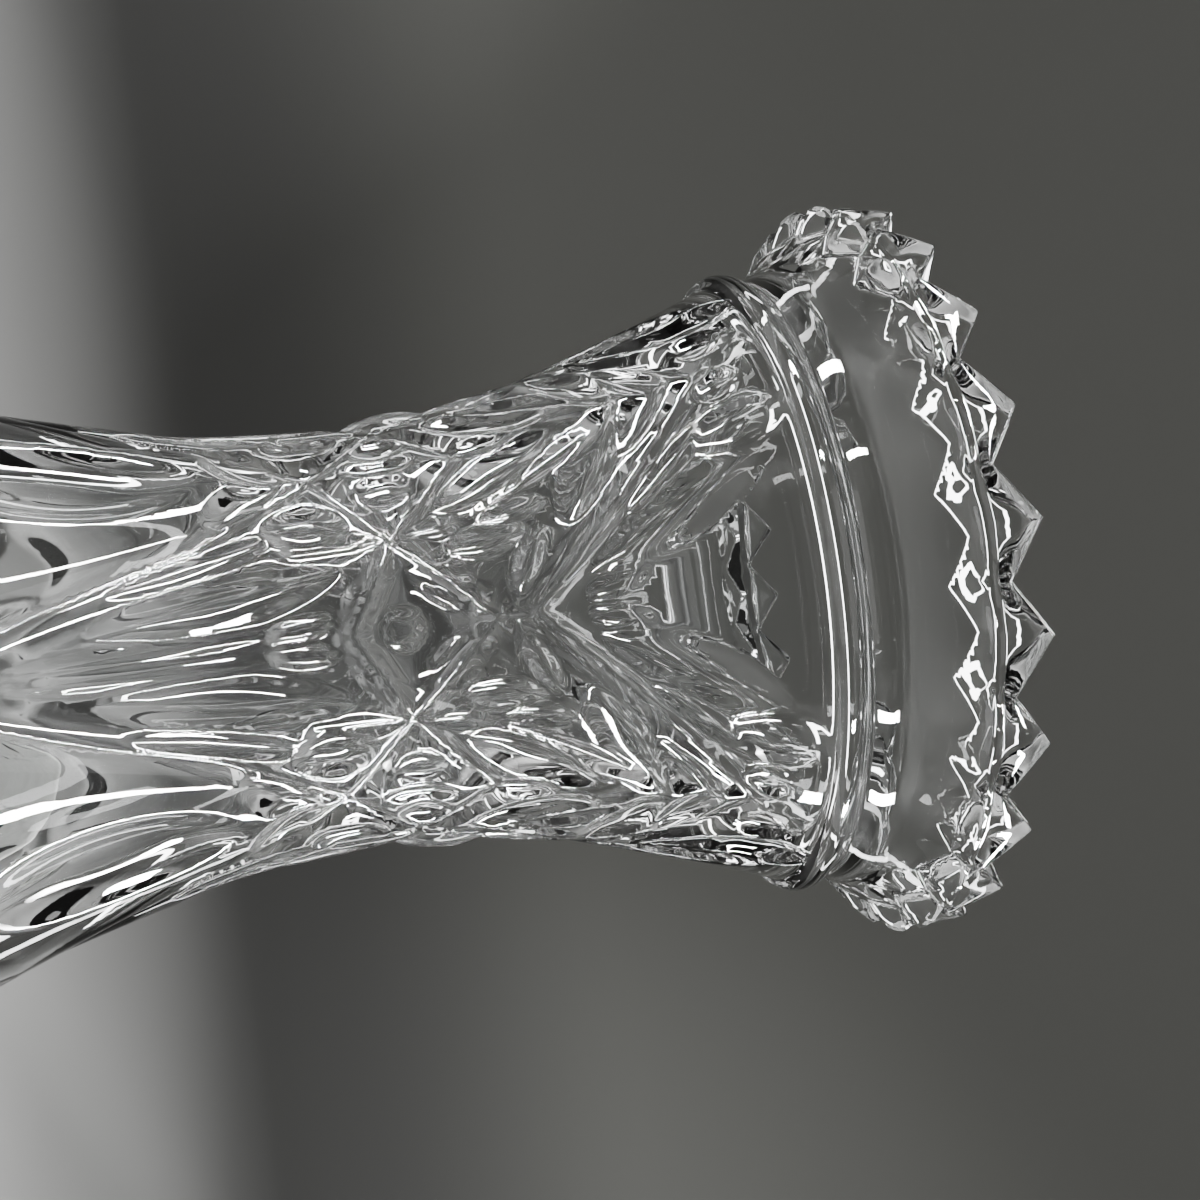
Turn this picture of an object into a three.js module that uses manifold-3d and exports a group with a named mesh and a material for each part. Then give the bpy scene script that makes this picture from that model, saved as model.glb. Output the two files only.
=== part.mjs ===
// Cut crystal vase: a corset-shaped body under a ledge, a flared collar and a rim of 24 teeth.
// Millimetres, +Z up, origin on the axis at the middle of the resting face. Angles are in degrees
// round the axis: 0 faces -Y and 90 faces +X. The glass is one piece, and a small paper label
// is stuck to the outside of it.

import * as THREE from 'three';
import { mergeVertices } from 'three/addons/utils/BufferGeometryUtils.js';
import Module from 'manifold-3d';

// Driving dimensions of the glass
const HEIGHT = 200;            // resting face to the tips of the teeth
const WAIST = { r: 33, z: 110 };
const FLARE_UP = 0.557;        // how fast the body opens above the waist
const FLARE_DOWN = 0.529;      // and below it
const WALL = 6;
const FLOOR = 15;              // thickness of glass under the hollow
const FOOT_R = 46;             // flat resting face
const SHOULDER_Z = 34;         // below this the body rounds in to the foot
const LEDGE = { r: 50.6, z: 176, height: 3.4 };
const NECK_R = 49.2;           // just above the ledge
const COLLAR_R = 59.2;         // outside of the teeth
const RIM_WALL = 6;

// The rim: a row of low four-sided points round the collar, under the teeth
const TEETH = 24;
const TOOTH_TURN = -3;         // angle of one tooth's tip
const TOOTH_DEPTH = 5.4;
const TOOTH_FLAT = 0.9;        // what is left of each tip
const POINTS = { count: 28, turn: 4.5, z: 191, width: 12.4, height: 6, rise: 1.6, sunk: 1.2 };
const POINT_LEAN = 0.3;        // radians, so that the points face a little downwards

// The cuts that lay out the body's pattern, which repeats every quarter turn. Each runs between
// two places given as [angle, z], and is mirrored about the middle of its panel.
const REPEATS = 4;
const EDGE = 180 / REPEATS;    // from a panel's middle to its edge
const MITRE = { width: 3.4, depth: 1.1, endWidth: 0.35 };
const CROSSING = [EDGE / 2, 118.5];
const FAN_BEND = [26, 92.5];
const CUTS = [
  [[0, 136.6], [EDGE, 163.8]],
  [CROSSING, [0, 131.3]],
  [CROSSING, [EDGE, 128.8]],
  [CROSSING, [0, 111.5]],
  [CROSSING, [EDGE, 108.2]],
  [[EDGE, 107], FAN_BEND],
  [FAN_BEND, [0, 57]],
];

const LABEL = { angle: 147.5, z: 48, r: 11.5, thickness: 0.2, gap: 0.3 };

const ROUND_STEPS = 48;

const wasm = await Module();
wasm.setup();

const radians = THREE.MathUtils.degToRad;
const flatPoints = list => list.map(([r, z]) => new THREE.Vector2(r, z));

// Outside of the body at height z: two hyperbolas that meet at the waist.
function bodyRadius(z) {
  const flare = z > WAIST.z ? FLARE_UP : FLARE_DOWN;
  return Math.hypot(WAIST.r, flare * (z - WAIST.z));
}

// A point on the body's outside, lifted off it along its normal.
function onBody(angle, z, lift = 0) {
  const slope = (bodyRadius(z + 0.5) - bodyRadius(z - 0.5));
  const normal = new THREE.Vector2(1, -slope).normalize();
  const r = bodyRadius(z) + normal.x * lift;
  const a = radians(angle);
  return new THREE.Vector3(r * Math.sin(a), -r * Math.cos(a), z + normal.y * lift);
}

function solidOf(geometry) {
  const merged = geometry.clone();
  merged.deleteAttribute('normal');
  merged.deleteAttribute('uv');
  const whole = mergeVertices(merged, 1e-4);
  return new wasm.Manifold(new wasm.Mesh({
    numProp: 3,
    vertProperties: new Float32Array(whole.attributes.position.array),
    triVerts: new Uint32Array(whole.index.array),
  }));
}

function geometryOf(solid) {
  const { vertProperties, triVerts, numProp } = solid.getMesh();
  const geometry = new THREE.BufferGeometry();
  const count = vertProperties.length / numProp;
  const position = new Float32Array(count * 3);
  for (let i = 0; i < count; i++) {
    position.set(vertProperties.subarray(i * numProp, i * numProp + 3), i * 3);
  }
  geometry.setAttribute('position', new THREE.BufferAttribute(position, 3));
  geometry.setIndex(new THREE.BufferAttribute(new Uint32Array(triVerts), 1));
  geometry.computeVertexNormals();
  return geometry;
}

// The uncut glass: the outline goes up the outside, over the rim and down the hollow.
function blank() {
  const between = (from, to, steps) =>
    Array.from({ length: steps + 1 }, (_, i) => from + ((to - from) * i) / steps);
  const ledgeBottom = LEDGE.z - LEDGE.height / 2;
  const ledgeTop = LEDGE.z + LEDGE.height / 2;

  const shoulder = bodyRadius(SHOULDER_Z);
  const heel = new THREE.CubicBezierCurve(...flatPoints([
    [FOOT_R + 1.2, 1], [FOOT_R + 9.5, 9], [shoulder + 2.8, SHOULDER_Z - 7], [shoulder, SHOULDER_Z],
  ]));
  const body = between(SHOULDER_Z + 8, ledgeBottom - 1, 9).map(z => [bodyRadius(z), z]);
  const ledge = [
    [LEDGE.r - 0.6, ledgeBottom + 0.3], [LEDGE.r, ledgeBottom + 1.2],
    [LEDGE.r, ledgeTop - 1.2], [LEDGE.r - 0.6, ledgeTop],
  ];
  const collar = new THREE.SplineCurve(flatPoints([
    [NECK_R, ledgeTop + 0.8], [NECK_R + 1.3, 184], [NECK_R + 7, 190],
    [COLLAR_R - 0.9, 193.6], [COLLAR_R, 196.8], [COLLAR_R, HEIGHT],
  ]));
  const bore = COLLAR_R - RIM_WALL;
  const inside = new THREE.SplineCurve(flatPoints([
    [bore, HEIGHT], [bore - 0.7, 194.5], [NECK_R - 1.2, 187.5],
    [NECK_R - WALL + 0.3, 181.5], [bodyRadius(174) - WALL, 174],
  ]));
  const hollow = between(160, FLOOR + 16, 6).map(z => [bodyRadius(z) - WALL, z]);
  const bowl = new THREE.QuadraticBezierCurve(...flatPoints([
    [bodyRadius(FLOOR + 8) - WALL - 1.5, FLOOR + 8],
    [bodyRadius(FLOOR + 8) - WALL, FLOOR], [bodyRadius(FLOOR + 8) - WALL - 10, FLOOR],
  ]));

  const outline = [
    ...flatPoints([[0, 0], [FOOT_R, 0]]),
    ...heel.getPoints(4),
    ...flatPoints([...body, ...ledge]),
    ...collar.getPoints(5),
    ...inside.getPoints(4),
    ...flatPoints(hollow),
    ...bowl.getPoints(3),
    new THREE.Vector2(0, FLOOR),
  ];
  return solidOf(new THREE.LatheGeometry(outline, ROUND_STEPS).rotateX(Math.PI / 2));
}

// One wedge right across the mouth cuts two opposite notches.
function notches() {
  const half = (Math.PI * COLLAR_R) / TEETH - TOOTH_FLAT / 2;
  const above = 2;
  const top = half * (1 + above / TOOTH_DEPTH);
  const section = new THREE.Shape(flatPoints([[0, -TOOTH_DEPTH], [top, above], [-top, above]]));
  const length = 3 * COLLAR_R;
  const wedges = [];
  for (let i = 0; i < TEETH / 2; i++) {
    const angle = TOOTH_TURN + ((i + 0.5) * 360) / TEETH;
    const wedge = new THREE.ExtrudeGeometry(section, { depth: length, bevelEnabled: false });
    wedge.translate(0, 0, -length / 2).rotateX(Math.PI / 2).rotateZ(radians(angle));
    wedges.push(solidOf(wedge.translate(0, 0, HEIGHT)));
  }
  return wasm.Manifold.union(wedges);
}

// Low four-sided points, each sunk into the collar so that it joins it all round.
function collarPoints() {
  const { count, turn, z, width, height, rise, sunk } = POINTS;
  const grow = (rise + sunk) / rise;
  const points = [];
  for (let i = 0; i < count; i++) {
    const point = new THREE.ConeGeometry(1, 1, 4, 1).translate(0, 0.5, 0);
    point.scale((width / 2) * grow, rise + sunk, (height / 2) * grow);
    point.rotateX(POINT_LEAN).translate(0, COLLAR_R - 0.5 - sunk, z);
    points.push(solidOf(point.rotateZ(radians(180 + turn + (i * 360) / count))));
  }
  return wasm.Manifold.union(points);
}

// A straight bar of diamond section, bent onto the body between two places given as [angle, z].
function mitre(from, to, steps) {
  const bar = new THREE.CylinderGeometry(1, 1, 1, 4, steps);
  const position = bar.attributes.position;
  const place = t => {
    const angle = THREE.MathUtils.lerp(from[0], to[0], t);
    const z = THREE.MathUtils.lerp(from[1], to[1], t);
    return [onBody(angle, z), onBody(angle, z, 1)];
  };
  for (let i = 0; i < position.count; i++) {
    const along = position.getY(i) + 0.5;
    const swell = Math.sqrt(Math.sin(Math.PI * THREE.MathUtils.clamp(along, 0, 1)));
    const taper = THREE.MathUtils.lerp(MITRE.endWidth, 1, swell);
    const [at, lifted] = place(along);
    const ahead = place(along + 0.01)[0].sub(place(along - 0.01)[0]).normalize();
    const outward = lifted.sub(at).normalize();
    const across = new THREE.Vector3().crossVectors(ahead, outward);
    at.addScaledVector(across, (position.getX(i) * taper * MITRE.width) / 2);
    at.addScaledVector(outward, position.getZ(i) * taper * MITRE.depth);
    position.setXYZ(i, at.x, at.y, at.z);
  }
  return solidOf(bar);
}

function layoutCuts() {
  const longest = 20;            // a cut taller than this is bent in more steps
  const cuts = [];
  for (let k = 0; k < REPEATS; k++) {
    const turn = (k * 360) / REPEATS;
    for (const side of [-1, 1]) {
      for (const [from, to] of CUTS) {
        const steps = Math.abs(from[1] - to[1]) > longest ? 4 : 2;
        const placed = [from, to].map(([angle, z]) => [turn + side * angle, z]);
        cuts.push(mitre(...placed, steps));
      }
    }
  }
  return wasm.Manifold.union(cuts);
}

function glassVase() {
  const glass = blank().add(collarPoints()).subtract(notches()).subtract(layoutCuts());
  return new THREE.Mesh(
    geometryOf(glass),
    new THREE.MeshStandardMaterial({
      color: 0xdfe6e6, roughness: 0.04, metalness: 0, transparent: true, opacity: 0.35,
    }),
  );
}

// A thin round disc bent to the body, held off it by the thickness of its glue.
function paperLabel() {
  const { angle, z, r, thickness, gap } = LABEL;
  const rings = [0, r / 3, (2 * r) / 3, r];
  const outline = flatPoints([
    ...rings.map(ring => [ring, 0]),
    ...rings.map(ring => [ring, thickness]).reverse(),
  ]);
  const disc = new THREE.LatheGeometry(outline, 28);
  const position = disc.attributes.position;
  const slope = bodyRadius(z + 0.5) - bodyRadius(z - 0.5);
  for (let i = 0; i < position.count; i++) {
    const up = z + position.getX(i) / Math.hypot(1, slope);
    const turn = angle + THREE.MathUtils.radToDeg(position.getZ(i) / bodyRadius(z));
    const at = onBody(turn, up, gap + position.getY(i));
    position.setXYZ(i, at.x, at.y, at.z);
  }
  return new THREE.Mesh(
    geometryOf(solidOf(disc)),
    new THREE.MeshStandardMaterial({ color: 0xb9b9b4, roughness: 0.85, metalness: 0 }),
  );
}

const vase = new THREE.Group();
const pieces = { glass_vase: glassVase(), paper_label: paperLabel() };
for (const [name, mesh] of Object.entries(pieces)) {
  mesh.name = name;
  vase.add(mesh);
}

export default vase;
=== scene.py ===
# Looks for the cut crystal vase: the clear moulded crystal with all its cuts, and a blank paper
# label. Sizes are in millimetres up to each finished mesh, and the stage, lights and camera are in
# metres. Angles are in degrees round the axis: 0 faces -Y and 90 faces +X.
import math

import bmesh
import bpy
import numpy as np
from mathutils import Matrix, Vector


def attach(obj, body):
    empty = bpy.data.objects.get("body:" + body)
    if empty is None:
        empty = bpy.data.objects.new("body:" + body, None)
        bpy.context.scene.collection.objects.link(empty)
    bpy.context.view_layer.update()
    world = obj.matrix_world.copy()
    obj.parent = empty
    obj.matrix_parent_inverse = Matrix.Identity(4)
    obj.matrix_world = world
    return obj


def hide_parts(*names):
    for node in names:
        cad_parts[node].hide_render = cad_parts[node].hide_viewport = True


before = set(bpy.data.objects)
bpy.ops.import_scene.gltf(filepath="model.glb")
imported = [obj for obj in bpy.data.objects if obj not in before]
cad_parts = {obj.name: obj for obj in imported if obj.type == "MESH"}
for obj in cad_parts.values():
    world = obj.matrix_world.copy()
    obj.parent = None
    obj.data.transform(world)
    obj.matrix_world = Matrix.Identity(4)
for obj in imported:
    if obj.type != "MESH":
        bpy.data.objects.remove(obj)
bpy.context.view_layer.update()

MM = 0.001

# The blank, as the CAD model has it
HEIGHT = 200.0
WAIST_R, WAIST_Z = 33.0, 110.0
FLARE_UP, FLARE_DOWN = 0.557, 0.529
WALL, FLOOR = 6.0, 15.0
FOOT_R, SHOULDER_Z = 46.0, 34.0
LEDGE_R, LEDGE_Z, LEDGE_HEIGHT = 50.6, 176.0, 3.4
NECK_R, COLLAR_R, RIM_WALL = 49.2, 59.2, 6.0

# The toothed rim
TEETH = 24
TOOTH_TURN = -3.0
TOOTH_DEPTH = 5.4
TOOTH_ROOT_Z = 193.4           # the collar is undisturbed by the teeth below this
LIP_ROUND = 0.6

# The row of faceted points under the teeth
POINTS = 28
POINT_TURN = 4.5
POINT_LOW, POINT_APEX, POINT_TOP = 187.8, 190.3, 193.3
POINT_RISE = 1.8
POINT_SIDE = 3.0               # how far a point's lower edges climb from its tip to halfway to the next
POINT_ROW_R = COLLAR_R * 0.97  # about the collar's radius along the row

# The body's pattern repeats every quarter turn, mirrored about the middle of each panel
PANEL = 90.0
EDGE = 45.0                    # from a panel's middle to its edge

# The mesh
ROUND_STEPS = TEETH * 14       # also 12 steps to each of the 28 points
BODY_STEP, FINE_STEP, FINE_FROM = 1.3, 0.8, 60.0   # spacing up the body, and where it gets finer


def body_radius(z):
    z = np.asarray(z, dtype=float)
    flare = np.where(z > WAIST_Z, FLARE_UP, FLARE_DOWN)
    return np.hypot(WAIST_R, flare * (z - WAIST_Z))


def on_body(z):
    return float(body_radius(z)), z


def curve_through(points, steps):
    """A smooth line through the given points."""
    p = [np.array(q, dtype=float) for q in points]
    p = [2 * p[0] - p[1]] + p + [2 * p[-1] - p[-2]]
    line = []
    for a, b, c, d in zip(p, p[1:], p[2:], p[3:]):
        for t in np.linspace(0, 1, steps, endpoint=False):
            line.append(0.5 * (2 * b + (c - a) * t + (2 * a - 5 * b + 4 * c - d) * t**2
                               + (3 * b - a - 3 * c + d) * t**3))
    return line + [p[-2]]


def bezier(points, steps):
    a, b, c, d = (np.array(q, dtype=float) for q in points)
    t = np.linspace(0, 1, steps)[:, None]
    return list((1 - t)**3 * a + 3 * (1 - t)**2 * t * b + 3 * (1 - t) * t**2 * c + t**3 * d)


def evenly(points, spacing):
    """The same line with its points evenly spaced."""
    p = np.array(points, dtype=float)
    run = np.concatenate([[0], np.cumsum(np.hypot(*np.diff(p, axis=0).T))])
    at = np.linspace(0, run[-1], max(2, round(run[-1] / spacing) + 1))
    return list(np.stack([np.interp(at, run, p[:, 0]), np.interp(at, run, p[:, 1])], axis=1))


def at_heights(line, heights):
    """The points of a rising line at the given heights."""
    line = np.array(line)
    return [(float(np.interp(z, line[:, 1], line[:, 0])), float(z)) for z in heights]


def heel_line():
    shoulder, z = on_body(SHOULDER_Z)
    return bezier([(FOOT_R + 0.6, 0.6), (FOOT_R + 9.5, 9), (shoulder + 2.8, z - 7), (shoulder, z)], 24)


def body_line(low, high, spacing):
    return [on_body(z) for z in np.arange(low, high, spacing)]


def ledge_line():
    low, high = LEDGE_Z - LEDGE_HEIGHT / 2, LEDGE_Z + LEDGE_HEIGHT / 2
    return curve_through([on_body(low - 0.6), (LEDGE_R - 0.3, low + 0.5), (LEDGE_R, LEDGE_Z),
                          (LEDGE_R - 0.35, high - 0.4), (NECK_R, high + 0.8)], 4)


def collar_line():
    return curve_through([
        ledge_line()[-1], (NECK_R + 0.1, 181), (NECK_R + 1.3, 184), (53.6, 187.3), (55.5, 190),
        (56.6, 192), (57.6, 193.6), (58.8, 195.2), (COLLAR_R, 196.8), (COLLAR_R, HEIGHT - LIP_ROUND)], 8)


def outside_line():
    """The outside from the foot to the lip, closely spaced where it is cut."""
    body = body_line(SHOULDER_Z + BODY_STEP, FINE_FROM, BODY_STEP)
    body += body_line(FINE_FROM, LEDGE_Z - LEDGE_HEIGHT / 2 - 1, FINE_STEP)
    collar = collar_line()
    rows = [*np.arange(179.2, 187, 1.2), 187.2, POINT_LOW - 0.25]
    rows += [*np.arange(POINT_LOW, POINT_APEX + 0.6, 0.5), 191.3, 192.3, POINT_TOP - 0.02, POINT_TOP + 0.25]
    rows += [193.9, 194.6, 195.6, 197, 198.3, HEIGHT - LIP_ROUND]
    return ([(FOOT_R + 0.35, 0.15)] + evenly(heel_line(), 2.2) + body + ledge_line()
            + at_heights(collar, rows))


def vase_outline():
    """Radius, height and whether the point lies on the cut outside, from the foot to the floor inside."""
    bore = COLLAR_R - RIM_WALL
    lip = [(COLLAR_R - 0.15, HEIGHT - 0.22), (COLLAR_R - 0.5, HEIGHT)]
    lip += evenly([(COLLAR_R - 1.4, HEIGHT), (bore + 1.2, HEIGHT)], 1.6)
    lip += [(bore + 0.5, HEIGHT), (bore + 0.15, HEIGHT - 0.22), (bore, HEIGHT - LIP_ROUND)]
    inside = curve_through([
        (bore, HEIGHT - LIP_ROUND), (bore - 0.7, 194.5), (NECK_R - 1.2, 187.5),
        (NECK_R - WALL + 0.3, 181.5), (on_body(174)[0] - WALL, 174)], 8)
    hollow = [(on_body(z)[0] - WALL, z) for z in np.arange(170, FLOOR + 14, -5.0)]
    r, z = hollow[-1]
    bowl = bezier([(r, z), (r + 3.5, z - 9), (r - 1, FLOOR), (r - 13, FLOOR)], 8)
    under = evenly([(0, 0), (FOOT_R, 0)], 7.5)
    rest = lip + evenly(inside, 2.6) + hollow + bowl[1:] + evenly([(bowl[-1][0] - 5, FLOOR), (0, FLOOR)], 8)
    return ([(*p, 0.0) for p in under] + [(*p, 1.0) for p in outside_line()]
            + [(*p, 0.0) for p in rest])


def spun(outline):
    """The outline turned once round the axis. Each point keeps whether it is on the outside."""
    bm = bmesh.new()
    skin = bm.verts.layers.float.new("skin")
    verts = []
    for r, z, on_outside in outline:
        if verts and (verts[-1].co - Vector((0, -r, z))).length < 0.05:
            continue
        v = bm.verts.new((0, -r, z))
        v[skin] = on_outside
        verts.append(v)
    for a, b in zip(verts, verts[1:]):
        bm.edges.new((a, b))
    bmesh.ops.rotate(bm, verts=bm.verts, cent=(0, 0, 0),
                     matrix=Matrix.Rotation(math.radians(TOOTH_TURN), 3, "Z"))
    bmesh.ops.spin(bm, geom=bm.verts[:] + bm.edges[:], cent=(0, 0, 0), axis=(0, 0, 1),
                   angle=math.tau, steps=ROUND_STEPS, use_merge=True)
    bmesh.ops.remove_doubles(bm, verts=bm.verts, dist=0.02)
    bmesh.ops.recalc_face_normals(bm, faces=bm.faces)
    return bm


# Every cut returns how deep it goes at each point, and less than nothing where it misses.
RIM_SINK, MITRE_SINK = 0.02, 0.03      # how far a cut's rim is lost in the surface round it
MITRE_END, MITRE_SIDE = 1.6, 0.45      # how fast a mitre ends, and its fade as a share of its width
LEAF_POINT = 1.35                      # under 2, so that a leaf's ends are narrower than an oval's

def place(turn, z, at, tilt):
    """Distances along and across a cut centred at (angle, height) and tilted from upright."""
    x = (turn - at[0]) * math.radians(1) * on_body(at[1])[0]
    y = z - at[1]
    c, s = math.cos(math.radians(tilt)), math.sin(math.radians(tilt))
    return y * c + x * s, x * c - y * s


def mitre_line(turn, z, start, end):
    """Distances past the ends of a mitre's line and across it, and the line's tilt in degrees."""
    (a0, z0), (a1, z1) = start, end
    middle = ((a0 + a1) / 2, (z0 + z1) / 2)
    run = (a1 - a0) * math.radians(1) * on_body(middle[1])[0]
    tilt = math.degrees(math.atan2(run, z1 - z0))
    u, v = place(turn, z, middle, tilt)
    return np.maximum(np.abs(u) - math.hypot(run, z1 - z0) / 2, 0), v, tilt


def mitre(turn, z, start, end, width, depth):
    """A straight cut with a sharp bottom, whose sides flatten out away from it."""
    beyond, v, _ = mitre_line(turn, z, start, end)
    return depth * np.exp(-np.hypot(v, MITRE_END * beyond) / (MITRE_SIDE * width)) - MITRE_SINK


def rounded(inside, depth):
    """A hollow that is flat at its rim, where `inside` is 0, and at its bottom, where it is 1."""
    inside = np.clip(inside, 0, 1)
    return depth * inside**2 * (3 - 2 * inside) - RIM_SINK


def leaf(turn, z, at, length, width, tilt, depth):
    """A pointed cut with a rounded hollow."""
    u, v = place(turn, z, at, tilt)
    return rounded(1 - (u / (length / 2))**2 - np.abs(v / (width / 2))**LEAF_POINT, depth)


def olive(turn, z, at, length, width, tilt, depth):
    """An oval cut with a rounded hollow."""
    u, v = place(turn, z, at, tilt)
    return rounded(1 - (u / (length / 2))**2 - (v / (width / 2))**2, depth)


VEE = (0, 136.6)
CROSSING = (23, 118.5)
BELT_TOP, BELT_BOTTOM = (0, 131.3), (0, 111.5)
SIDE_TOP, SIDE_BOTTOM = (EDGE, 128.8), (EDGE, 108.2)
FAN_BEND = (26, 92.5)

MITRES = [  # from, to, width, depth
    (VEE, (EDGE, 163.8), 4.4, 1.7),
    (VEE, BELT_TOP, 2.6, 1.0),
    (CROSSING, BELT_TOP, 3.6, 1.4),
    (CROSSING, SIDE_TOP, 3.6, 1.4),
    (CROSSING, BELT_BOTTOM, 3.6, 1.4),
    (CROSSING, SIDE_BOTTOM, 3.6, 1.4),
    ((22.3, 105), (23.6, 126), 2.6, 1.0),
    ((44, 107.8), FAN_BEND, 3.8, 1.5),
    (FAN_BEND, (2, 57), 4.0, 1.5),
]
LEAVES = [  # middle, length, width, tilt, depth
    ((14.5, 155.5), 31, 10.4, 26, 2.0),
    ((24, 156), 22, 5.2, 40, 1.2),
    ((40, 155.8), 22, 7.4, 57, 1.6),
    ((31, 147), 24, 9.0, 64, 1.8),
    ((34, 141.2), 30, 4.4, 26, 1.2),
    ((34.6, 133.6), 22, 8.8, 27, 1.8),
    ((23.4, 135.3), 11, 4.0, 6, 1.0),
    ((11, 136.4), 12, 4.6, 66, 1.1),
    ((8.2, 127.9), 8, 3.4, -38, 0.9),
    ((14.3, 125.5), 8, 3.0, -40, 0.8),
    ((38, 99.6), 18, 9.4, 42, 1.8),
    ((11.4, 95), 36, 9.6, 9, 1.7),
    ((20.5, 91), 30, 6.6, 16, 1.3),
    ((2.2, 85), 40, 4.2, 2, 0.9),
    ((8.5, 112.4), 11, 3.0, 64, 0.8),
    ((6, 124.2), 8, 2.8, -38, 0.8),
    ((0, 45), 24, 8.0, 0, 1.5),
]
OLIVES = [
    ((28.5, 166.6), 15, 9.4, 8, 1.7),
    ((38.6, 165.6), 8, 7.2, 0, 1.3),
    ((3.2, 147.3), 10.5, 4.0, 12, 1.0),
    ((17.6, 130.7), 13, 5.2, 4, 1.3),
    ((EDGE, 132.6), 10, 4.8, 0, 1.2),
    ((28.6, 107.2), 14, 8.6, -4, 1.9),
    ((EDGE, 118.5), 12, 3.8, 0, 1.0),
    ((36.5, 118.5), 10, 7.8, 0, 1.3),
    ((3.1, 105), 11.5, 4.0, 6, 1.1),
    ((0, 118.2), 7.5, 7, 0, 1.1),
    ((EDGE, 76), 36, 17, 0, 2.4),
]
CUSHION_AT, CUSHION_SIZE, CUSHION_RISE = (0, 120.8), (17, 14), 1.2

ROSETTE_AT = (EDGE, 43.0)
ROSETTE_R, ROSETTE_RING = 13.0, 1.6            # the ring's radius and half its width
ROSETTE_LEAVES, ROSETTE_DEPTH = 8, 1.1
PETAL_MIDDLE, PETAL_HALF = 6.2, (5.6, 2.3)     # from the rosette's middle, half length and width
FLUTE_PITCH, FLUTE_DEPTH = 7.5, 0.9
FLUTE_Z, FLUTE_TOP, FLUTE_HALF = 20, 30, (8.5, 3.4)


def rosette(turn, z):
    """A round of leaves with a ring round it, low on the body."""
    up, across = place(turn, z, ROSETTE_AT, 0)
    deepest = ROSETTE_DEPTH * (1 - np.abs(np.hypot(up, across) - ROSETTE_R) / ROSETTE_RING)
    half_length, half_width = PETAL_HALF
    for k in range(ROSETTE_LEAVES):
        a = math.tau * k / ROSETTE_LEAVES
        u, v = across * math.sin(a) + up * math.cos(a), across * math.cos(a) - up * math.sin(a)
        along, beside = (u - PETAL_MIDDLE) / half_length, np.abs(v / half_width)
        deepest = np.maximum(deepest, ROSETTE_DEPTH * (1 - along**2 - beside**LEAF_POINT))
    return deepest


def flutes(turn, z):
    """Short upright hollows side by side round the heel."""
    across = (turn + FLUTE_PITCH / 2) % FLUTE_PITCH - FLUTE_PITCH / 2
    half_height, half_width = FLUTE_HALF
    depth = FLUTE_DEPTH * (1 - ((z - FLUTE_Z) / half_height)**2 - (across / half_width)**2)
    return np.where(z < FLUTE_TOP, depth, -1)


def all_cuts(angle, z):
    """Every cut's depth at each point, one row to a cut, with the uncut surface as the first row."""
    turn = np.abs((angle + EDGE) % PANEL - EDGE)
    rows = [np.zeros(len(z))]
    rows += [mitre(turn, z, *row) for row in MITRES]
    rows += [leaf(turn, z, *row) for row in LEAVES]
    rows += [olive(turn, z, *row) for row in OLIVES]
    return np.stack(rows + [rosette(turn, z), flutes(turn, z)])


def cushion(angle, z):
    """How far the middle of each panel's belt diamond is raised."""
    turn = np.abs((angle + EDGE) % PANEL - EDGE)
    up, across = place(turn, z, CUSHION_AT, 0)
    width, height = CUSHION_SIZE
    return CUSHION_RISE * np.clip(1 - (2 * up / height)**2 - (2 * across / width)**2, 0, None)


def off_middle(angle, first, count):
    """Degrees from the nearest of a row of equal parts round the rim."""
    pitch = 360 / count
    return np.abs((angle - first + pitch / 2) % pitch - pitch / 2)


def collar_points(angle, z):
    """How far the faceted points stand out: two lower faces, and a narrow triangular one above."""
    across = off_middle(angle, POINT_TURN, POINTS) * math.radians(1) * POINT_ROW_R
    side = POINT_SIDE / (math.pi * POINT_ROW_R / POINTS)
    lower = (z - POINT_LOW - side * across) / (POINT_APEX - POINT_LOW)
    upper = 1 + 0.6 * (z - POINT_APEX) / (POINT_TOP - POINT_APEX)
    under_top = (POINT_TOP + 0.2 - z) / 0.12
    return POINT_RISE * np.clip(np.minimum(np.minimum(lower, upper), under_top), 0, None)


CUT_LOW, CUT_HIGH = 9.0, LEDGE_Z - LEDGE_HEIGHT / 2 - 0.5    # the body is cut between these


def depth_at(angle, z):
    """How deep the surface is sunk at each point, less how far it is raised."""
    depth = np.where((z > CUT_LOW) & (z < CUT_HIGH), all_cuts(angle, z).max(axis=0), 0)
    depth -= cushion(angle, z)
    return depth - np.where(z > CUT_HIGH, collar_points(angle, z), 0)


MOST_SLIDE = 0.48              # in mesh steps, so that two neighbours never cross
NUDGE = 0.02                   # the distance over which a slope is measured


def slide(angle, z, off, dx, dz, round_step, up_step, where):
    """Moves points sideways or up, by under half a mesh step, to where `off` is nought.

    Returns the new angles and heights, and which points moved.
    """
    steep_x, steep_z = np.abs(dx) * round_step, np.abs(dz) * up_step
    sideways = steep_x > steep_z
    near = where & (np.abs(off) < MOST_SLIDE * np.maximum(steep_x, steep_z))
    move_x, move_z = near & sideways, near & ~sideways
    x = np.where(move_x, -off / np.where(move_x, dx, 1), 0)
    y = np.where(move_z, -off / np.where(move_z, dz, 1), 0)
    return angle + x / (body_radius(z) * math.radians(1)), z + y, near


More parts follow.
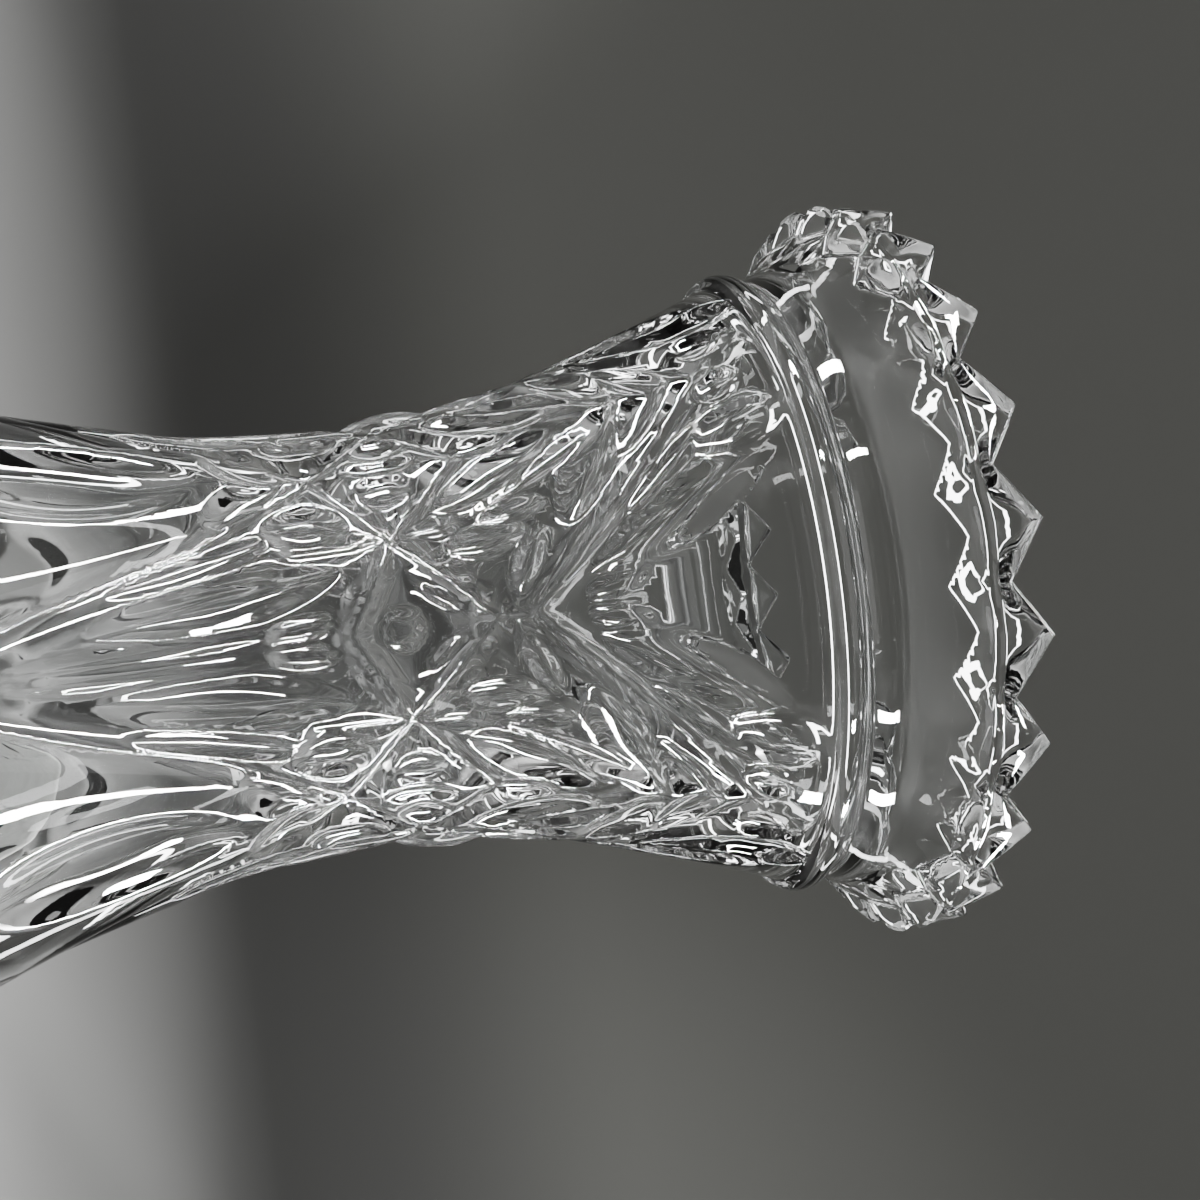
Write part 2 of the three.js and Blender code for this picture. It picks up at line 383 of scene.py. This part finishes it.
def onto_creases(angle, z, up_step):
    """Slides points along the surface on to the nearest edge between two cuts or bottom of a mitre."""
    here = all_cuts(angle, z)
    pair = np.argpartition(-here, 1, axis=0)[:2]
    radius = body_radius(z) * math.radians(1)
    round_step = radius * 360 / ROUND_STEPS

    def gap(rows):
        a, b = np.take_along_axis(rows, pair, axis=0)
        return a - b

    off = gap(here)
    dx = (gap(all_cuts(angle + NUDGE / radius, z)) - off) / NUDGE
    dz = (gap(all_cuts(angle, z + NUDGE)) - off) / NUDGE
    deepest = here.argmax(axis=0)
    free = np.ones(len(z), dtype=bool)
    folded = (angle + EDGE) % PANEL - EDGE
    start_angle, start_z = angle, z
    for k, (start, end, _, _) in enumerate(MITRES, 1):
        beyond, v, tilt = mitre_line(np.abs(folded), start_z, start, end)
        c, s = math.cos(math.radians(tilt)), math.sin(math.radians(tilt))
        new_angle, new_z, moved = slide(
            start_angle, start_z, v, np.sign(folded) * c, np.full(len(z), -s),
            round_step, up_step, free & (deepest == k) & (beyond == 0))
        angle, z = np.where(moved, new_angle, angle), np.where(moved, new_z, z)
        free &= ~moved
    angle, z, _ = slide(angle, z, off, dx, dz, round_step, up_step, free)
    return angle, z


def better_diagonals(mesh, skin, angle, z, depth):
    """For each four-sided face of the cut outside whose diagonals differ: the corner to split it from."""
    total = np.empty(len(mesh.polygons), dtype=int)
    start = np.empty(len(mesh.polygons), dtype=int)
    corners = np.empty(len(mesh.loops), dtype=int)
    mesh.polygons.foreach_get("loop_total", total)
    mesh.polygons.foreach_get("loop_start", start)
    mesh.loops.foreach_get("vertex_index", corners)
    faces = np.flatnonzero(total == 4)
    quads = corners[start[faces][:, None] + np.arange(4)]
    keep = skin[quads].all(axis=1)
    faces, quads = faces[keep], quads[keep]
    misses = []
    for k in (0, 1):
        a, c = quads[:, k], quads[:, k + 2]
        round_way = (angle[c] - angle[a] + 180) % 360 - 180
        true = depth_at(angle[a] + round_way / 2, (z[a] + z[c]) / 2)
        misses.append(np.abs(true - (depth[a] + depth[c]) / 2))
    first, second = misses
    differ = np.abs(first - second) > 0.01
    return zip(faces[differ], np.where(first < second, 0, 1)[differ])


def carve(mesh):
    """Moves the blank's points in to the cuts, out to the collar's points and down to the notches."""
    count = len(mesh.vertices)
    co = np.empty(count * 3)
    mesh.vertices.foreach_get("co", co)
    co = co.reshape(-1, 3)
    skin = np.empty(count)
    mesh.attributes["skin"].data.foreach_get("value", skin)
    skin = skin > 0.5

    angle, z = np.degrees(np.arctan2(co[:, 0], -co[:, 1])), co[:, 2].copy()
    cut = skin & (z > CUT_LOW) & (z < CUT_HIGH - 0.5)
    up_step = np.where(z[cut] < FINE_FROM, BODY_STEP, FINE_STEP)
    angle[cut], z[cut] = onto_creases(angle[cut], z[cut], up_step)
    depth = np.where(skin, depth_at(angle, z), 0)
    splits = better_diagonals(mesh, skin, angle, z, depth)

    outside = np.array(outside_line())
    base = np.interp(z, outside[:, 1], outside[:, 0])
    reach = 0.4
    slope = (np.interp(z + reach, outside[:, 1], outside[:, 0])
             - np.interp(z - reach, outside[:, 1], outside[:, 0])) / (2 * reach)
    lean = np.hypot(1, slope)
    r = base - depth / lean
    moved = np.stack([r * np.sin(np.radians(angle)), -r * np.cos(np.radians(angle)),
                      z + depth * slope / lean], axis=1)
    co = np.where(skin[:, None], moved, co)

    drop = TOOTH_DEPTH * off_middle(angle, TOOTH_TURN, TEETH) / (180 / TEETH)
    co[:, 2] -= drop * np.clip((co[:, 2] - TOOTH_ROOT_Z) / (HEIGHT - LIP_ROUND - TOOTH_ROOT_Z), 0, 1)
    mesh.vertices.foreach_set("co", (co * MM).ravel())

    bm = bmesh.new()
    bm.from_mesh(mesh)
    bm.faces.ensure_lookup_table()
    for face, corner in [(bm.faces[i], k) for i, k in splits]:
        bmesh.utils.face_split(face, face.verts[corner], face.verts[corner + 2])
    bm.to_mesh(mesh)
    bm.free()


def make_glass():
    bm = spun(vase_outline())
    mesh = bpy.data.meshes.new("cut_glass")
    bm.to_mesh(mesh)
    bm.free()
    carve(mesh)
    mesh.shade_smooth()
    piece = bpy.data.objects.new("cut_glass", mesh)
    bpy.context.scene.collection.objects.link(piece)
    return piece


def crystal():
    """Clear crystal with the faint waviness and haze that a mould leaves."""
    material = bpy.data.materials.new("clear_crystal")
    material.use_nodes = True
    nodes, links = material.node_tree.nodes, material.node_tree.links
    shader = nodes["Principled BSDF"]
    shader.inputs["IOR"].default_value = 1.54
    shader.inputs["Transmission Weight"].default_value = 1.0
    place_on = nodes.new("ShaderNodeTexCoord")

    mould = nodes.new("ShaderNodeTexNoise")
    mould.inputs["Scale"].default_value = 160
    mould.inputs["Detail"].default_value = 2
    ripple = nodes.new("ShaderNodeBump")
    ripple.inputs["Strength"].default_value = 0.05
    ripple.inputs["Distance"].default_value = 0.0004
    links.new(place_on.outputs["Object"], mould.inputs["Vector"])
    links.new(mould.outputs["Fac"], ripple.inputs["Height"])
    links.new(ripple.outputs["Normal"], shader.inputs["Normal"])

    haze = nodes.new("ShaderNodeTexNoise")
    haze.inputs["Scale"].default_value = 45
    haze.inputs["Detail"].default_value = 4
    links.new(place_on.outputs["Object"], haze.inputs["Vector"])
    polish = nodes.new("ShaderNodeMapRange")
    polish.inputs["From Min"].default_value = 0.45
    polish.inputs["From Max"].default_value = 0.8
    polish.inputs["To Min"].default_value = 0.0
    polish.inputs["To Max"].default_value = 0.035
    links.new(haze.outputs["Fac"], polish.inputs["Value"])
    links.new(polish.outputs["Result"], shader.inputs["Roughness"])
    tint = nodes.new("ShaderNodeValToRGB")
    clear, cool = tint.color_ramp.elements
    clear.position, clear.color = 0.35, (0.985, 0.99, 0.985, 1)
    cool.position, cool.color = 0.7, (0.96, 0.975, 0.98, 1)
    links.new(haze.outputs["Fac"], tint.inputs["Fac"])
    links.new(tint.outputs["Color"], shader.inputs["Base Color"])
    return material


LABEL_ANGLE, LABEL_Z, LABEL_R = 147.5, 48.0, 11.5
LABEL_LOW, LABEL_HIGH = 0.06, 0.24      # its two faces, above the glass
LABEL_RIM_ROUND = 0.05


def make_label():
    """A thin round disc with softened edges, bent to the glass."""
    bm = bmesh.new()
    rings = [0, 2.5, 5, 7.5, 9.8, LABEL_R - LABEL_RIM_ROUND]
    middle = (LABEL_LOW + LABEL_HIGH) / 2
    line = [(r, LABEL_LOW) for r in rings] + [(LABEL_R, middle)] + [(r, LABEL_HIGH) for r in rings[::-1]]
    verts = [bm.verts.new((r, 0, h)) for r, h in line]
    for a, b in zip(verts, verts[1:]):
        bm.edges.new((a, b))
    bmesh.ops.spin(bm, geom=bm.verts[:] + bm.edges[:], cent=(0, 0, 0), axis=(0, 0, 1),
                   angle=math.tau, steps=64, use_merge=True)
    bmesh.ops.remove_doubles(bm, verts=bm.verts, dist=0.01)
    for v in bm.verts:
        slope = on_body(LABEL_Z + 0.5)[0] - on_body(LABEL_Z - 0.5)[0]
        up = LABEL_Z + v.co.y / math.hypot(1, slope)
        a = math.radians(LABEL_ANGLE) - v.co.x / on_body(LABEL_Z)[0]
        out = Vector((1, -slope)).normalized() * v.co.z
        r = on_body(up)[0] + out.x
        v.co = Vector((r * math.sin(a), -r * math.cos(a), up + out.y)) * MM
    bmesh.ops.recalc_face_normals(bm, faces=bm.faces)
    mesh = bpy.data.meshes.new("round_label")
    bm.to_mesh(mesh)
    bm.free()
    mesh.shade_smooth()
    piece = bpy.data.objects.new("round_label", mesh)
    bpy.context.scene.collection.objects.link(piece)
    return piece


def matt_paper():
    """Plain grey-white paper with short soft fibres."""
    material = bpy.data.materials.new("matt_paper")
    material.use_nodes = True
    nodes, links = material.node_tree.nodes, material.node_tree.links
    shader = nodes["Principled BSDF"]
    place_on = nodes.new("ShaderNodeTexCoord")
    stretch = nodes.new("ShaderNodeMapping")
    stretch.inputs["Scale"].default_value = (1, 1, 0.25)
    fibres = nodes.new("ShaderNodeTexNoise")
    fibres.inputs["Scale"].default_value = 1800
    fibres.inputs["Detail"].default_value = 5
    links.new(place_on.outputs["Object"], stretch.inputs["Vector"])
    links.new(stretch.outputs["Vector"], fibres.inputs["Vector"])
    shades = nodes.new("ShaderNodeValToRGB")
    dark, light = shades.color_ramp.elements
    dark.position, dark.color = 0.3, (0.66, 0.66, 0.64, 1)
    light.position, light.color = 0.7, (0.78, 0.78, 0.76, 1)
    links.new(fibres.outputs["Fac"], shades.inputs["Fac"])
    links.new(shades.outputs["Color"], shader.inputs["Base Color"])
    rough = nodes.new("ShaderNodeMapRange")
    rough.inputs["To Min"].default_value = 0.7
    rough.inputs["To Max"].default_value = 0.9
    links.new(fibres.outputs["Fac"], rough.inputs["Value"])
    links.new(rough.outputs["Result"], shader.inputs["Roughness"])
    tooth = nodes.new("ShaderNodeBump")
    tooth.inputs["Strength"].default_value = 0.3
    tooth.inputs["Distance"].default_value = 0.0001
    links.new(fibres.outputs["Fac"], tooth.inputs["Height"])
    links.new(tooth.outputs["Normal"], shader.inputs["Normal"])
    return material


def sweep_paint():
    """Plain matt paint, grey on the floor and paler up the wall."""
    material = bpy.data.materials.new("sweep_paint")
    material.use_nodes = True
    nodes, links = material.node_tree.nodes, material.node_tree.links
    shader = nodes["Principled BSDF"]
    shader.inputs["Roughness"].default_value = 0.9
    place_on = nodes.new("ShaderNodeTexCoord")
    split = nodes.new("ShaderNodeSeparateXYZ")
    ramp = nodes.new("ShaderNodeValToRGB")
    ramp.color_ramp.interpolation = "EASE"
    floor, wall = ramp.color_ramp.elements
    floor.position, floor.color = 0.0, (0.2, 0.2, 0.196, 1)
    wall.position, wall.color = 0.5, (0.46, 0.464, 0.44, 1)
    links.new(place_on.outputs["Object"], split.inputs[0])
    links.new(split.outputs["Z"], ramp.inputs["Fac"])
    links.new(ramp.outputs["Color"], shader.inputs["Base Color"])
    return material


def make_stage():
    """A floor that curves up into a wall behind the vase, a hair below the foot."""
    half_width, front_y, wall_y, bend, top, floor_z = 4.0, -3.0, 2.2, 1.2, 3.5, -0.0002
    line = [(front_y, floor_z)]
    for k in range(17):
        a = math.radians(90 * k / 16)
        line.append((wall_y - bend + bend * math.sin(a), floor_z + bend - bend * math.cos(a)))
    line.append((wall_y, top))
    bm = bmesh.new()
    verts = [bm.verts.new((-half_width, y, z)) for y, z in line]
    edges = [bm.edges.new(pair) for pair in zip(verts, verts[1:])]
    grown = bmesh.ops.extrude_edge_only(bm, edges=edges)["geom"]
    bmesh.ops.translate(bm, vec=(2 * half_width, 0, 0),
                        verts=[g for g in grown if isinstance(g, bmesh.types.BMVert)])
    mesh = bpy.data.meshes.new("sweep")
    bm.to_mesh(mesh)
    bm.free()
    mesh.shade_smooth()
    mesh.materials.append(sweep_paint())
    sweep = bpy.data.objects.new("sweep", mesh)
    bpy.context.scene.collection.objects.link(sweep)


def softbox(name, angle, height, distance, size, watts, spread=180, aim_z=0.1):
    """A rectangular light at an angle round the vase, turned to face it."""
    light = bpy.data.lights.new(name, "AREA")
    light.shape = "RECTANGLE"
    light.size, light.size_y = size
    light.energy = watts
    light.spread = math.radians(spread)
    lamp = bpy.data.objects.new(name, light)
    a = math.radians(angle)
    lamp.location = (distance * math.sin(a), -distance * math.cos(a), height)
    towards = Vector((0, 0, aim_z)) - lamp.location
    lamp.rotation_mode = "QUATERNION"
    lamp.rotation_quaternion = towards.to_track_quat("-Z", "Y")
    bpy.context.scene.collection.objects.link(lamp)


def make_lights():
    world = bpy.data.worlds.new("studio")
    bpy.context.scene.world = world
    world.use_nodes = True
    world.node_tree.nodes["Background"].inputs["Color"].default_value = (0.19, 0.19, 0.186, 1)
    for name, angle, width, watts in (
        ("left_strip", -72, 0.06, 3.6), ("left_front_strip", -38, 0.03, 2.0),
        ("right_front_strip", 52, 0.045, 2.8), ("right_strip", 86, 0.06, 3.6),
    ):
        softbox(name, angle, 0.2, 0.62, (width, 0.34), watts, 50, aim_z=0.16)
    for name, angle in (("left_back_strip", -116), ("right_back_strip", 120)):
        softbox(name, angle, 0.22, 0.62, (0.035, 0.4), 1.1, aim_z=0.16)
    softbox("overhead", 0, 0.78, 0.3, (0.5, 0.05), 1.0, 60)
    softbox("high_back", 180, 0.62, 0.5, (0.6, 0.05), 1.2)
    softbox("front_fill", 0, 0.75, 1.1, (1.2, 0.5), 2)


def make_camera():
    data = bpy.data.cameras.new("camera")
    data.sensor_width = 36
    data.lens = 41.4
    data.clip_start = 0.01
    camera = bpy.data.objects.new("camera", data)
    right = Vector((0.1372, -0.1839, 0.9733))
    up = Vector((-0.9905, -0.0342, 0.1331))
    back = right.cross(up).normalized()
    up = back.cross(right).normalized()
    turn = Matrix((right.normalized(), up, back)).transposed().to_4x4()
    camera.matrix_world = Matrix.Translation((0.0013, -0.2221, 0.1100)) @ turn
    bpy.context.scene.collection.objects.link(camera)
    bpy.context.scene.camera = camera


make_camera()
for piece, node, slot, finish in [
    (make_glass(), "glass_vase", "crystal_glass", crystal()),
    (make_label(), "paper_label", "label_paper", matt_paper()),
]:
    piece.data.materials.append(finish)
    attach(piece, "root")
    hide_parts(node)

make_stage()
make_lights()
